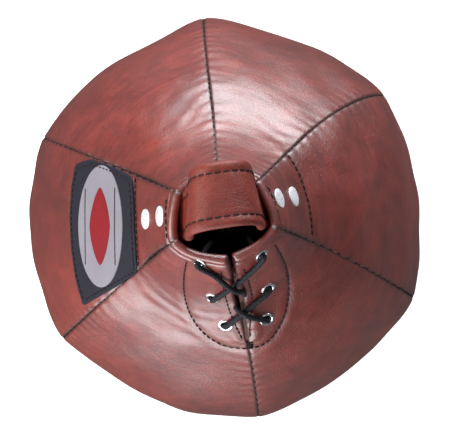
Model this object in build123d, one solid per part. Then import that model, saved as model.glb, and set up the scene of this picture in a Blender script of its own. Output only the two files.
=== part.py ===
"""Laced leather training ball: six sewn gores with a raised, open throat, a hanging strap and a
laced front seam, round a filled inner bag.  Units are millimetres.  +Z is up through the throat,
the origin is on the floor under the middle of the flat base, the laced seam faces -Y and the
strap runs along X."""
import os
from math import asin, cos, radians, sin

from build123d import *

# ---------------------------------------------------------------- driving dimensions
GORE_COUNT = 6
RIM_R = 27.6                 # outside radius of the throat rim in the middle of a gore
RIM_Z = 294.5                # height where the outside face turns over into the hem
LEATHER = 2.0                # thickness of the gore leather
BASE_PATCH_R = 50.0          # flat round patch under the ball
GORE_FOOT_R = 36.0           # inner end of the gores, on top of the base patch
PANEL_AXIS = 59.0            # each gore is turned about an axis this far behind the ball's axis
HEM = 4.6                    # doubled leather at the rim
HEM_LENGTH = 16.0            # how far the hem runs down inside the throat
SEAM_DEPTH = 5.0             # inner edge of the turned-in seam allowance, below the outside face
SEAM_THICKNESS = 1.5
SEAM_ROOM = 0.2              # between the seam allowances and the pieces beside them
SEAM_START = 0.02            # share of the meridian left without an allowance at each end
FIT = 0.08                   # clearance between curved layers that lie on each other
HOLE_ROOM = 0.05             # round a fitting in the hole made for it
SEAT_CUT = 3.0               # height cleared over a fitting's flange or cap
BACK_CUT = 4.0               # depth cleared behind an eyelet
HOLE_CUT = 20.0              # length of the cut for an eyelet's barrel
NECK_SLOPE = 67.0            # degrees above the horizontal
NECK_STEP = 17.4             # spacing of the meridian's points along the straight neck
# the gore's outside line from foot to neck: distance from the ball's axis, height
BODY_LINE = [
    (GORE_FOOT_R, 2.05), (45.0, 2.5), (54.0, 4.4), (73.0, 14.5), (90.0, 29.5), (104.5, 48.5), (115.5, 74.0),
    (121.0, 97.0), (121.7, 122.0), (116.0, 149.0), (106.0, 174.0), (93.5, 196.0), (79.5, 216.5),
    (64.0, 232.5), (51.0, 246.5)]
HALF_TURN = 24.0             # a panel is turned this many degrees to each side before it is cut

SLIT_HALF = 2.2              # half width of the gap along the laced seam
SLIT_END_R = 77.0            # the gap ends this far from the ball's axis
SLIT_FLOOR_Z = 206.0         # its lower end cuts down to here
FACING = 1.4                 # leather facing behind the eyelets
FACING_FOOT_R = 80.0
LACING_OVAL = (2.0, -50.0, 30.0, 27.0)      # middle and half sizes of the facings, seen from above
TONGUE_TOP = 8.7             # outer face of the tongue, below the gores' outside face
TONGUE = 2.0
TONGUE_SPAN = (70.0, 35.0)   # meridian radii of its two ends
TONGUE_TURN = 44.0           # degrees round the ball's axis

LACE_D = 3.2
LACE_SOFT_BEND = 30.0
EYELET_R = 4.5               # eyelet flange
EYELET_HOLE_R = 2.3
EYELET_BARREL_R = 2.9
EYELET_LIP = 0.6
EYELET_RIM = 0.3             # how far its edges are rounded

RIVET_CAP_R = 6.0
RIVET_CAP = 1.8
RIVET_SHANK_R = 1.7
RIVET_BACK_R = 4.0
RIVET_BACK = 1.0
RIVET_Y = 4.0                # the rivets stand in line with the strap
RIVET_RADII = (33.4, 41.8)

STRAP_W = 34.0
STRAP_LAYER = 1.5            # outer leather, webbing core and lining are this thick each
STRAP_Y = 3.0                # the strap is sewn in a little behind the middle of the throat
STRAP_ROOT_OUT = 4.8         # outer face of a strap end, below the gore's outside face
STRAP_ROOT = 3.6
STRAP_ROOT_W = 22.0
STRAP_ROOT_SPAN = (47.5, 32.4)      # meridian radii of the sewn end
ANCHOR_FOOT_R = 50.0         # lower edge of the patch behind the rivets
HINGE_Z = 297.0              # the strap bends here, level with the rim
STRAP_LEG_X = 20.9           # outer face of the loop's legs
STRAP_NECK_R = 9.0           # the legs are gathered to this half width where they bend
STRAP_RISE = 40.0            # height of the loop above the bend
STRAP_CORNER_R = 15.0        # outside radius where a leg turns over into the top
STRAP_CROWN = 1.0            # the top stands this much higher in the middle
STRAP_SPREAD = 26.0          # above the bend the legs have spread to their full width
STRAP_LEAN = 9.0             # degrees the loop leans back at rest

LABEL = 0.8
LABEL_OUTLINE = [(-49, 30), (-80, 45), (-91, 6), (-88, -41), (-53, -27)]
LABEL_OVAL = (-72.0, 3.0, 13.6, 34.0)       # middle and half sizes, seen from above
LABEL_SPAN = (98.0, 46.0)    # meridian radii that enclose the label
LINER = 1.2
LINER_GAP = 5.4              # outer face of the inner bag, below the gores' outside face

BAG_NECK_R = 14.0
BAG_TOP_Z = 236.0            # gathered neck of the inner bag, below its ruffle
BAG_TIE_R = 1.3
BAG_TIE_DROP = 6.5           # the tie is this far below the neck's top
BAG_BODY_R = 104.0           # above here the bag leaves the leather and closes towards its neck
BAG_SHOULDER = [(84.0, 198.0), (58.0, 211.0), (34.0, 218.0), (BAG_NECK_R, 222.0)]
RUFFLE_RISE = 12.0
RUFFLE_SPREAD = 7.0
PADDING_SPLIT_Z = 150.0      # the filling is packed in two parts, one on the other
SAND_R = 38.0
SAND_FLOOR_Z = 72.0

BIG = 400.0
Z_AXIS = Axis.Z

# middle of each gore, in degrees round +Z from +X
GORES = {
    "gore_right": 0,
    "gore_back_right": 60,
    "gore_back_left": 120,
    "gore_left": 180,
    "gore_front_left": 240,
    "gore_front_right": 300,
}
# eyelets: gore angle, distance round from the gore's middle, meridian radius, leather thickness
EYELETS = {
    "eyelet_left_1": (240, -2.6, 30.6, HEM),
    "eyelet_left_2": (240, 11.0, 45.9, LEATHER + FACING),
    "eyelet_left_3": (240, 22.6, 60.4, LEATHER + FACING),
    "eyelet_right_1": (300, 4.2, 30.8, HEM),
    "eyelet_right_2": (300, -4.4, 48.0, LEATHER + FACING),
    "eyelet_right_3": (300, -16.9, 62.4, LEATHER + FACING),
}
# rivets: gore angle, distance round, meridian radius
RIVETS = {
    "rivet_left_upper": (180, -RIVET_Y, RIVET_RADII[0]),
    "rivet_left_lower": (180, -RIVET_Y, RIVET_RADII[1]),
    "rivet_right_upper": (0, RIVET_Y, RIVET_RADII[0]),
    "rivet_right_lower": (0, RIVET_Y, RIVET_RADII[1]),
}


# ---------------------------------------------------------------- the gore's meridian
def make_meridian():
    """Outside line of a gore along its middle, from the foot to the rim, in the XZ plane."""
    points = list(BODY_LINE)
    for steps_down in (2, 1, 0):
        reach = steps_down * NECK_STEP
        points.append((RIM_R + reach * cos(radians(NECK_SLOPE)), RIM_Z - reach * sin(radians(NECK_SLOPE))))
    return Spline([(r, 0, z) for r, z in points])


MERIDIAN = make_meridian()


def inward(u):
    """Unit normal of the meridian at parameter u, pointing into the ball."""
    run = MERIDIAN % u
    return Vector(-run.Z, 0, run.X)


def offset_point(u, depth):
    return (MERIDIAN @ u) + inward(u) * depth


def find_u(radius):
    """Parameter on the upper half of the meridian where its radius is the one given."""
    low, high = 0.4, 1.0
    for _ in range(50):
        middle = (low + high) / 2
        if (MERIDIAN @ middle).X > radius:
            low = middle
        else:
            high = middle
    return low


def offset_line(depth, u0, u1, steps=18):
    if depth == 0 and u0 == 0 and u1 == 1:
        return MERIDIAN
    knots = [u0 + (u1 - u0) * i / steps for i in range(steps + 1)]
    return Spline([offset_point(u, depth) for u in knots])


def band(top, bottom, u0, u1):
    """Flat face between two depths below the meridian, from u0 to u1."""
    outer = offset_line(top, u0, u1)
    inner = offset_line(bottom, u0, u1)
    start = Line(outer @ 0, inner @ 0)
    end = Line(outer @ 1, inner @ 1)
    return make_face(outer + end + inner + start)


def turn_panel(face, half_angle=HALF_TURN):
    """Turn a face about the axis behind the ball's own, which gives a flatter panel."""
    axis = Axis((-PANEL_AXIS, 0, 0), (0, 0, 1))
    return revolve(face, axis, 2 * half_angle).rotate(axis, -half_angle)


def wedge(half_angle=180.0 / GORE_COUNT):
    """Sector about +X, tall enough to cut a whole gore."""
    outline = Polyline(
        (0, 0), (BIG * cos(radians(half_angle)), -BIG * sin(radians(half_angle))),
        (BIG * cos(radians(half_angle)), BIG * sin(radians(half_angle))), close=True)
    return extrude(make_face(outline), BIG)


def panel_place(angle, across, radius, height=0.0):
    """Point and outward normal on a gore: distance round from its middle, meridian radius."""
    u = find_u(radius)
    lean = asin(across / (radius + PANEL_AXIS))
    out = inward(u) * -1
    normal = Vector(out.X * cos(lean), out.X * sin(lean), out.Z)
    foot = MERIDIAN @ u
    point = Vector((radius + PANEL_AXIS) * cos(lean) - PANEL_AXIS, across, foot.Z)
    point = (point + normal * height).rotate(Z_AXIS, angle)
    return point, normal.rotate(Z_AXIS, angle)


def panel_plane(angle, across, radius):
    point, normal = panel_place(angle, across, radius)
    return Plane(origin=point, z_dir=normal)


# ---------------------------------------------------------------- gores
def plain_gore():
    """Leather shell with its hem turned over at the rim and seam allowances turned in."""
    hem_start = 1.0 - HEM_LENGTH / MERIDIAN.length
    tip = MERIDIAN @ 1
    over = offset_point(1, HEM)
    crown = (tip + over) / 2 + (MERIDIAN % 1) * (HEM / 2)
    hem_end = offset_point(hem_start, HEM)
    buried = LEATHER / 2
    outline = ThreePointArc(tip, crown, over) + Line(over, hem_end)
    outline += Line(hem_end, offset_point(hem_start, buried))
    outline += Line(offset_point(hem_start, buried), offset_point(1, buried))
    outline += Line(offset_point(1, buried), tip)
    shell = turn_panel(band(0, LEATHER, 0, 1)) + turn_panel(make_face(outline))
    allowance = turn_panel(band(buried, SEAM_DEPTH, SEAM_START, hem_start - SEAM_START))
    allowance = (allowance & wedge()) - wedge_gap(SEAM_THICKNESS)
    return (shell & wedge()) + allowance


def wedge_gap(edge):
    """The sector of one gore without a strip of the given width along each seam."""
    inset = edge / sin(radians(180.0 / GORE_COUNT))
    return Pos(inset, 0, 0) * wedge()


def eyelet_tool(thickness):
    """What an eyelet takes out of the leather it is set in."""
    flange = Pos(0, 0, SEAT_CUT / 2) * Cylinder(EYELET_R + HOLE_ROOM, SEAT_CUT)
    barrel = Cylinder(EYELET_BARREL_R + HOLE_ROOM, HOLE_CUT)
    back = Pos(0, 0, -thickness - BACK_CUT / 2) * Cylinder(EYELET_R - EYELET_RIM + HOLE_ROOM, BACK_CUT)
    return flange + barrel + back


def rivet_tool():
    cap = Pos(0, 0, SEAT_CUT / 2 - HOLE_ROOM) * Cylinder(RIVET_CAP_R + 2 * HOLE_ROOM, SEAT_CUT)
    return cap + Cylinder(RIVET_SHANK_R + HOLE_ROOM, 2 * HOLE_CUT)


def cut_fittings(shape, angle):
    """Holes and seats for the eyelets and rivets that go through one gore's layers."""
    for gore_angle, across, radius, thickness in EYELETS.values():
        if gore_angle == angle:
            shape = shape - panel_plane(angle, across, radius) * eyelet_tool(thickness)
    for gore_angle, across, radius in RIVETS.values():
        if gore_angle == angle:
            shape = shape - panel_plane(angle, across, radius) * rivet_tool()
    return shape


def slit_cutter():
    """The gap along the laced seam, from the rim down to its sewn end."""
    length = SLIT_END_R
    height = BIG - SLIT_FLOOR_Z
    return Pos(0, -length / 2, BIG - height / 2) * Box(2 * SLIT_HALF, length, height)


def make_gores():
    blank = plain_gore()
    gores = {}
    for name, angle in GORES.items():
        gore = blank.rotate(Z_AXIS, angle)
        if angle in (240, 300):
            gore = gore - slit_cutter()
        gores[name] = cut_fittings(gore, angle)
    return gores


# ---------------------------------------------------------------- pieces sewn inside the throat
def layer(top, bottom, low_radius, high_radius, angle):
    """Layer below one gore's outside face, between two meridian radii."""
    face = band(top, bottom, find_u(low_radius), find_u(high_radius))
    return (turn_panel(face) & wedge()).rotate(Z_AXIS, angle)


def facing_outline():
    """Oval reinforcement round the lacing, seen from above."""
    x, y, half_x, half_y = LACING_OVAL
    return Pos(x, y, 0) * extrude(Ellipse(half_x, half_y), BIG)


def below_hem_radius():
    return offset_point(1.0 - (HEM_LENGTH + 2 * SEAM_ROOM) / MERIDIAN.length, 0).X


def make_lacing_base():
    """Facings behind the eyelets and the tongue under the slit."""
    pieces = {}
    top_r = below_hem_radius()
    for name, angle in (("facing_left", 240), ("facing_right", 300)):
        piece = layer(LEATHER + FIT, LEATHER + FACING, FACING_FOOT_R, top_r, angle) & facing_outline()
        piece = piece - slit_cutter()
        piece = piece - seam_strip(270)
        pieces[name] = cut_fittings(piece, angle)
    low_r, high_r = TONGUE_SPAN
    face = band(TONGUE_TOP, TONGUE_TOP + TONGUE, find_u(low_r), find_u(high_r))
    pieces["tongue"] = revolve(face, Z_AXIS, TONGUE_TURN).rotate(Z_AXIS, 270.0 - TONGUE_TURN / 2)
    return pieces


def seam_strip(angle):
    """Room for the two seam allowances where two gores meet."""
    strip = Pos(BIG / 2, 0, BIG / 2) * Box(BIG, 2 * (SEAM_THICKNESS + SEAM_ROOM), BIG)
    return strip.rotate(Z_AXIS, angle)


def make_strap_anchors():
    """Patches behind the rivets and the two fixed ends of the strap."""
    pieces = {}
    for side, angle in (("left", 180), ("right", 0)):
        y_side = -STRAP_Y if side == "left" else STRAP_Y
        patch = layer(LEATHER + FIT, HEM, ANCHOR_FOOT_R, below_hem_radius(), angle)
        patch = patch - seam_strip(angle + 30) - seam_strip(angle - 30)
        pieces["anchor_patch_" + side] = cut_fittings(patch, angle)
        low_u, high_u = (find_u(radius) for radius in STRAP_ROOT_SPAN)
        face = band(STRAP_ROOT_OUT, STRAP_ROOT_OUT + STRAP_ROOT, low_u, high_u)
        root = turn_panel(face) & (Pos(0, y_side, BIG / 2) * Box(BIG, STRAP_ROOT_W, BIG))
        root = root & (Pos(BIG / 2, 0, BIG / 2) * Box(BIG, BIG, BIG))
        pieces["strap_end_" + side] = cut_fittings(root.rotate(Z_AXIS, angle), angle)
    return pieces


# ---------------------------------------------------------------- metal fittings
def eyelet(thickness):
    """Rolled eyelet: flange outside, barrel through the leather, spread lip inside."""
    back = -thickness
    outline = Polyline(
        (EYELET_HOLE_R + EYELET_RIM, EYELET_LIP), (EYELET_R - EYELET_RIM, EYELET_LIP), (EYELET_R, 0.0),
        (EYELET_BARREL_R, 0.0), (EYELET_BARREL_R, back), (EYELET_R - EYELET_RIM, back),
        (EYELET_R - 2 * EYELET_RIM, back - EYELET_LIP), (EYELET_HOLE_R + EYELET_RIM, back - EYELET_LIP),
        (EYELET_HOLE_R, back - EYELET_LIP + EYELET_RIM), (EYELET_HOLE_R, EYELET_LIP - EYELET_RIM),
        close=True)
    return revolve(Plane.XZ * make_face(outline), Z_AXIS)


def rivet():
    """Domed cap outside, shank through gore, patch and strap end, flat head inside."""
    grip = STRAP_ROOT_OUT + STRAP_ROOT + 2 * FIT
    outline = Polyline(
        (0, RIVET_CAP), (0, -grip - RIVET_BACK), (0.9 * RIVET_BACK_R, -grip - RIVET_BACK),
        (RIVET_BACK_R, -grip), (RIVET_SHANK_R, -grip), (RIVET_SHANK_R, 0.0), (RIVET_CAP_R, 0.0),
        (RIVET_CAP_R, 0.3 * RIVET_CAP), (RIVET_CAP_R * 0.9, 0.62 * RIVET_CAP),
        (RIVET_CAP_R * 0.65, 0.87 * RIVET_CAP), (RIVET_CAP_R * 0.3, 0.97 * RIVET_CAP), close=True)
    return revolve(Plane.XZ * make_face(outline), Z_AXIS)


def make_fittings():
    pieces = {}
    for name, (angle, across, radius, thickness) in EYELETS.items():
        pieces[name] = panel_plane(angle, across, radius) * eyelet(thickness)
    for name, (angle, across, radius) in RIVETS.items():
        pieces[name] = panel_plane(angle, across, radius) * rivet()
    return pieces


# ---------------------------------------------------------------- lace
LACE_OVER = 2.6              # lace centre above the leather
LACE_CROSS = 6.3             # lace centre where it passes over the other run


def through(name, downwards):
    """The two route points where the lace goes through an eyelet, with their bend radius."""
    angle, across, radius, thickness = EYELETS[name]
    outside = (panel_place(angle, across, radius, LACE_OVER)[0], LACE_D)
    inside = (panel_place(angle, across, radius, -(thickness + LACE_OVER))[0], LACE_D)
    return [outside, inside] if downwards else [inside, outside]


def beside(angle, across, radius, height):
    """A route point near a gore's outside face, at a height above it."""
    return panel_place(angle, across, radius, height)[0], LACE_SOFT_BEND


def at(x, y, z):
    return Vector(x, y, z), LACE_SOFT_BEND


def lace_route():
    """From the end inside the right of the rim to the end inside the left of the rim."""
    route = [beside(300, 9.0, 35.0, -10.5)]
    route += through("eyelet_right_1", False)
    route += [beside(300, -13.5, 38.0, LACE_CROSS), beside(240, 17.5, 41.0, LACE_CROSS)]
    route += through("eyelet_left_2", True)
    route += [at(0.2, -47.8, 244.2), at(0.6, -57.5, 256.5)]
    route += [beside(300, -24.5, 56.5, LACE_OVER)]
    route += through("eyelet_right_3", True)
    route += [beside(300, -29.0, 61.0, -7.4), beside(240, 30.5, 60.0, -7.4)]
    route += through("eyelet_left_3", False)
    route += [beside(240, 24.6, 55.0, LACE_CROSS), beside(300, -20.0, 52.5, LACE_CROSS)]
    route += through("eyelet_right_2", True)
    route += [at(0.8, -37.0, 256.0), at(-0.4, -45.6, 267.0)]
    route += [beside(240, 14.5, 36.5, LACE_OVER)]
    route += through("eyelet_left_1", True)
    route += [beside(240, -8.5, 35.5, -11.0)]
    return route


def lace_radii(route):
    """Each bend is as large as its two runs leave room for, up to its own soft curve."""
    radii = []
    for (before, _), (here, softest), (after, _) in zip(route, route[1:], route[2:]):
        turn = radians((here - before).get_angle(after - here))
        shorter = min((here - before).length, (after - here).length)
        room = 0.45 * shorter / max(0.02, sin(turn / 2) / cos(turn / 2))
        radii.append(min(room, softest))
    return radii


def make_lace():
    route = lace_route()
    radii = lace_radii(route)
    path = FilletPolyline(*[point for point, _ in route], radius=radii)
    section = Plane(origin=path @ 0, z_dir=path % 0) * Circle(LACE_D / 2)
    lace = sweep(section, path)
    print("lace length", round(path.length, 1))
    return lace


# ---------------------------------------------------------------- strap loop
def loop_layer(depth, thickness):
    """One layer of the upside-down U, in the XZ plane, from depth to depth + thickness."""
    def bow(inset):
        x = STRAP_LEG_X - inset
        top = HINGE_Z + STRAP_RISE - inset
        corner = STRAP_CORNER_R - inset
        halfway = corner * (1 - cos(radians(45.0)))
        return [
            (x, HINGE_Z - STRAP_NECK_R), (x, top - corner), (x - halfway, top - halfway), (x - corner, top)]
    outer = bow(depth)
    inner = bow(depth + thickness)

    def half(points):
        leg = Line(points[0], points[1])
        bend = ThreePointArc(points[1], points[2], points[3])
        return leg, bend
    outer_leg, outer_bend = half(outer)
    inner_leg, inner_bend = half(inner)
    crown = (0, outer[3][1] + STRAP_CROWN)
    under = (0, inner[3][1] + STRAP_CROWN)
    outline = outer_leg + outer_bend + Line(outer[3], crown) + Line(crown, under)
    outline += Line(under, inner[3]) + inner_bend + inner_leg
    outline += Line(inner[0], outer[0])
    half_loop = extrude(Plane.XZ * make_face(outline), STRAP_W, both=True)
    return half_loop + mirror(half_loop, Plane.YZ)


def loop_silhouette():
    """Side view of the loop: gathered at the bend, full width at the top."""
    half = STRAP_W / 2
    disc = Pos(STRAP_Y, HINGE_Z) * Circle(STRAP_NECK_R)
    spread_z = HINGE_Z + STRAP_SPREAD
    above = HINGE_Z + 2 * STRAP_RISE
    waist = Polyline(
        (STRAP_Y - STRAP_NECK_R, HINGE_Z), (STRAP_Y + STRAP_NECK_R, HINGE_Z), (STRAP_Y + half, spread_z),
        (STRAP_Y + half, above), (STRAP_Y - half, above), (STRAP_Y - half, spread_z), close=True)
    return extrude(Plane.YZ * (disc + make_face(waist)), STRAP_W, both=True)


def make_strap_loop():
    hinge = Axis((0, STRAP_Y, HINGE_Z), (1, 0, 0))
    side = loop_silhouette()
    pieces = {}
    layers = ("strap_outer", "strap_core", "strap_lining")
    for index, name in enumerate(layers):
        solid = loop_layer(index * STRAP_LAYER, STRAP_LAYER) & side
        pieces[name] = solid.rotate(hinge, -STRAP_LEAN)
    return pieces


# ---------------------------------------------------------------- label on the left gore
def make_label():
    plate = extrude(make_face(Polyline(*LABEL_OUTLINE, close=True)), BIG)
    base = layer(-LABEL, -FIT, *LABEL_SPAN, 180) & plate
    x, y, half_x, half_y = LABEL_OVAL
    oval_cut = Pos(x, y, 0) * extrude(Ellipse(half_x, half_y), BIG)
    oval = layer(-2 * LABEL, -LABEL - FIT, *LABEL_SPAN, 180) & oval_cut
    return {"label_base": base, "label_oval": oval}


# ---------------------------------------------------------------- inner bag and filling
def bag_outline(inset, top_z):
    """Half section of the filled bag, to a flat top at top_z."""
    low = offset_line(LINER_GAP + inset, 0.0, find_u(BAG_BODY_R))
    points = [Vector(r - inset, 0, z - inset) for r, z in BAG_SHOULDER]
    neck = points[-1]
    rest = Polyline(neck, (neck.X, 0, top_z), (0, 0, top_z), (0, 0, (low @ 0).Z), low @ 0)
    return make_face(low + Spline([low @ 1] + points) + rest)


def make_inner_bag():
    outer = revolve(bag_outline(0, BAG_TOP_Z), Z_AXIS)
    cavity = revolve(bag_outline(LINER, BAG_TOP_Z - RUFFLE_RISE + 2.0), Z_AXIS)
    foot_z = BAG_TOP_Z - LINER
    tip_r = BAG_NECK_R + RUFFLE_SPREAD
    tip_z = BAG_TOP_Z + RUFFLE_RISE
    ruffle_face = Plane.XZ * make_face(Polyline(
        (BAG_NECK_R - 3 * LINER, foot_z), (BAG_NECK_R, foot_z), (tip_r, tip_z), (tip_r - 2 * LINER, tip_z),
        close=True))
    tie = Pos(0, 0, BAG_TOP_Z - BAG_TIE_DROP) * Torus(BAG_NECK_R + BAG_TIE_R, BAG_TIE_R)
    liner = outer - cavity + revolve(ruffle_face, Z_AXIS)
    return {"inner_bag": liner - tie, "bag_tie": tie}, cavity


def make_filling(cavity):
    sand_height = PADDING_SPLIT_Z - SAND_FLOOR_Z
    sand = Pos(0, 0, SAND_FLOOR_Z + sand_height / 2) * Cylinder(SAND_R, sand_height)
    half_space = Pos(0, 0, PADDING_SPLIT_Z / 2) * Box(BIG, BIG, PADDING_SPLIT_Z)
    lower = cavity & half_space
    upper = cavity - half_space
    return {"padding_lower": lower - sand, "sand_bag": sand, "padding_upper": upper}


def make_base_patch():
    patch = Pos(0, 0, LEATHER / 2) * Cylinder(BASE_PATCH_R, LEATHER)
    return {"base_patch": patch}


# ---------------------------------------------------------------- assembly
def main():
    parts = {}
    parts.update(make_gores())
    parts.update(make_base_patch())
    parts.update(make_lacing_base())
    parts.update(make_strap_anchors())
    parts.update(make_fittings())
    parts["lace"] = make_lace()
    parts.update(make_strap_loop())
    parts.update(make_label())
    bag, cavity = make_inner_bag()
    parts.update(bag)
    parts.update(make_filling(cavity))
    os.makedirs("parts", exist_ok=True)
    for name, shape in parts.items():
        export_step(shape, f"parts/{name}.step")
    print(len(parts), "nodes")


main()
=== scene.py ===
import math

import bpy
import numpy as np
from mathutils import Matrix, Vector


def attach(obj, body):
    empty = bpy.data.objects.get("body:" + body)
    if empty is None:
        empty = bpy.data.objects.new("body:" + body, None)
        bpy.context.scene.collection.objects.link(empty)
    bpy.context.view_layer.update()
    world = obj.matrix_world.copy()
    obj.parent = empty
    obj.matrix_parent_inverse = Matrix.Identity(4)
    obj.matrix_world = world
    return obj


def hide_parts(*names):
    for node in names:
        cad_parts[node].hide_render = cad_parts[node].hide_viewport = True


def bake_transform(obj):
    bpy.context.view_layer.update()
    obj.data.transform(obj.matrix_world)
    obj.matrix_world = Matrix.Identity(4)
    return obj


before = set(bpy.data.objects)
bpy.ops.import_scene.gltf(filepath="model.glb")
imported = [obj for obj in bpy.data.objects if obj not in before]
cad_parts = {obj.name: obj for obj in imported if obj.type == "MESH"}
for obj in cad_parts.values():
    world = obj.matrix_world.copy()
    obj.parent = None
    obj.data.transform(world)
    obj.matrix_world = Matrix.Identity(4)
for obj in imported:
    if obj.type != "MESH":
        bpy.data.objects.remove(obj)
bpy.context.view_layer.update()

MM = 0.001

# ---------------------------------------------------------------- the ball's shape, close to the CAD part's
RIM_R, RIM_Z = 27.6, 294.5
EQUATOR_R = 122.0
PANEL_AXIS = 59.0
NECK_SLOPE = math.radians(67.0)
LEATHER = 2.0
HEM = 4.8
HINGE = (0.0, 3.0, 297.0)


def along_path(points):
    """Length along a path up to each of its points."""
    return np.concatenate([[0], np.cumsum(np.linalg.norm(np.diff(points, axis=0), axis=1))])


def natural_spline(knots, values, at):
    """Values at new places on a smooth curve through the knots."""
    step = np.diff(knots)
    count = len(knots)
    system = np.eye(count)
    right = np.zeros(count)
    for i in range(1, count - 1):
        system[i, i - 1:i + 2] = step[i - 1], 2 * (step[i - 1] + step[i]), step[i]
        right[i] = 6 * ((values[i + 1] - values[i]) / step[i] - (values[i] - values[i - 1]) / step[i - 1])
    bend = np.linalg.solve(system, right)
    cell = np.clip(np.searchsorted(knots, at) - 1, 0, count - 2)
    width = step[cell]
    left = (knots[cell + 1] - at) / width
    over = (at - knots[cell]) / width
    curve = ((left ** 3 - left) * bend[cell] + (over ** 3 - over) * bend[cell + 1]) * width ** 2 / 6
    return left * values[cell] + over * values[cell + 1] + curve


def make_meridian():
    """Outside line along a gore's middle from the foot to the rim: arc length, r, z, normal."""
    points = [(36.0, 2.05), (45.0, 2.5), (54.0, 4.4), (73.0, 14.5), (90.0, 29.5), (104.5, 48.5),
              (115.5, 74.0), (121.0, 97.0), (121.7, 122.0), (116.0, 149.0), (106.0, 174.0),
              (93.5, 196.0), (79.5, 216.5), (64.0, 232.5), (51.0, 246.5)]
    for reach in (34.8, 17.4, 0.0):
        points.append((RIM_R + reach * math.cos(NECK_SLOPE), RIM_Z - reach * math.sin(NECK_SLOPE)))
    points = np.array(points)
    chord = along_path(points)
    fine = np.linspace(0, chord[-1], 3000)
    r = natural_spline(chord, points[:, 0], fine)
    z = natural_spline(chord, points[:, 1], fine)
    arc = along_path(np.stack([r, z], -1))
    run_r, run_z = np.gradient(r, arc), np.gradient(z, arc)
    size = np.hypot(run_r, run_z)
    return arc, r, z, run_z / size, -run_r / size


ARC, MR, MZ, NR, NZ = make_meridian()
LENGTH = ARC[-1]
TOP = int(np.argmax(MR))
S_EQUATOR = ARC[TOP]

# each seam's angle, seen from above, at the throat, on the shoulder and at the equator (degrees)
SEAM_THROAT = [35.0, 86.8, 144.5, 199.3, 272.6, 338.6]
SEAM_SHOULDER = [36.2, 87.7, 146.4, 204.6, 272.5, 333.4]
SEAM_EQUATOR = [29.5, 87.9, 147.2, 207.5, 270.8, 329.1]
SHOULDER_R = 68.0
CORNER_PULL = [0.94, 0.91, 1.0, 1.06, 0.90, 1.05]      # how far out each corner of the throat is drawn
FRONT = 4                       # the laced seam
SLIT_END_S = float(np.interp(-72.0, -MR[TOP:], ARC[TOP:]))


def at_arc(table, s):
    return np.interp(s, ARC, table)


def arc_of_radius(r):
    """Arc length on the upper half of the meridian where its radius is r."""
    return np.interp(-np.asarray(r, float), -MR[TOP:], ARC[TOP:])


def seam_angle(k, s):
    """Angle of seam k at arc length s, in degrees."""
    r = np.where(np.asarray(s, float) < S_EQUATOR, EQUATOR_R, at_arc(MR, s))
    near = (r - SHOULDER_R) * (r - EQUATOR_R) / ((RIM_R - SHOULDER_R) * (RIM_R - EQUATOR_R))
    middle = (r - RIM_R) * (r - EQUATOR_R) / ((SHOULDER_R - RIM_R) * (SHOULDER_R - EQUATOR_R))
    return near * SEAM_THROAT[k] + middle * SEAM_SHOULDER[k] + (1 - near - middle) * SEAM_EQUATOR[k]


def slit_half(s):
    """Half width of the open slit, zero below its sewn end."""
    along = np.clip((np.asarray(s, float) - SLIT_END_S) / (LENGTH - SLIT_END_S), 0, 1)
    return 1.1 * np.clip(along / 0.06, 0, 1) + 1.7 * np.exp(-((along - 0.52) / 0.15) ** 2) + 1.4 * along ** 5


def gore_sides(k, s):
    """Angles of the two sides of gore k, which lies between seam k - 1 and seam k."""
    low, high = seam_angle((k - 1) % 6, s), seam_angle(k, s)
    low = np.where(low > high, low - 360, low)
    return low, high


def panel_radius(turn, r):
    """Distance from the ball's axis at an angle from the gore's middle."""
    c = PANEL_AXIS * np.cos(turn)
    return -c + np.sqrt(c * c - PANEL_AXIS ** 2 + (r + PANEL_AXIS) ** 2)


class Waves:
    """Smooth repeatable unevenness: a sum of sine waves in fixed directions."""

    def __init__(self, seed, size, count=14):
        rng = np.random.default_rng(seed)
        way = rng.normal(size=(count, 3))
        way /= np.linalg.norm(way, axis=1)[:, None]
        self.waves = way * (2 * math.pi / size) * rng.uniform(0.6, 1.4, count)[:, None]
        self.phase = rng.uniform(0, 2 * math.pi, count)
        self.scale = math.sqrt(2.0 / count)

    def __call__(self, p):
        return np.sin(p @ self.waves.T + self.phase).sum(-1) * self.scale


BROAD = Waves(3, 95.0)
MIDDLE = Waves(5, 42.0)
SMALL = Waves(8, 17.0)
FLOW = Waves(11, 60.0)


SHOULDER_Z, SHOULDER_SPREAD = 236.0, 34.0
RING_PITCH, PUCKER_PITCH = 12.5, 8.4
PUCKER_REACH, TUCK_REACH = 5.5, 4.2         # from the seam into the panel


def relief(p, s, edge, k):
    """Dents, ring wrinkles and seam puckers: how far the leather stands off the plain shape."""
    z = p[..., 2]
    broad = 0.9 * BROAD(p) + 0.38 * MIDDLE(p)
    shoulder = np.exp(-((z - SHOULDER_Z) / SHOULDER_SPREAD) ** 2)
    rings = np.sin(2 * math.pi * s / RING_PITCH + 2.4 * FLOW(p)) * (0.5 + 0.5 * MIDDLE(p * 1.3))
    folds = 0.11 * rings * shoulder + 0.10 * SMALL(p) * shoulder
    pucker = np.sin(2 * math.pi * s / PUCKER_PITCH + 1.7 * k + 1.2 * MIDDLE(p)) * np.exp(-edge / PUCKER_REACH)
    tuck = -0.9 * np.exp(-edge / TUCK_REACH)
    grounded = np.clip((z - 4.0) / 40.0, 0, 1)
    neck = 1.0 - 0.55 * np.clip((z - 262.0) / 25.0, 0, 1)
    return grounded * (neck * (broad + folds) + 0.28 * pucker) + tuck * np.clip(z / 12.0, 0, 1)


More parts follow.
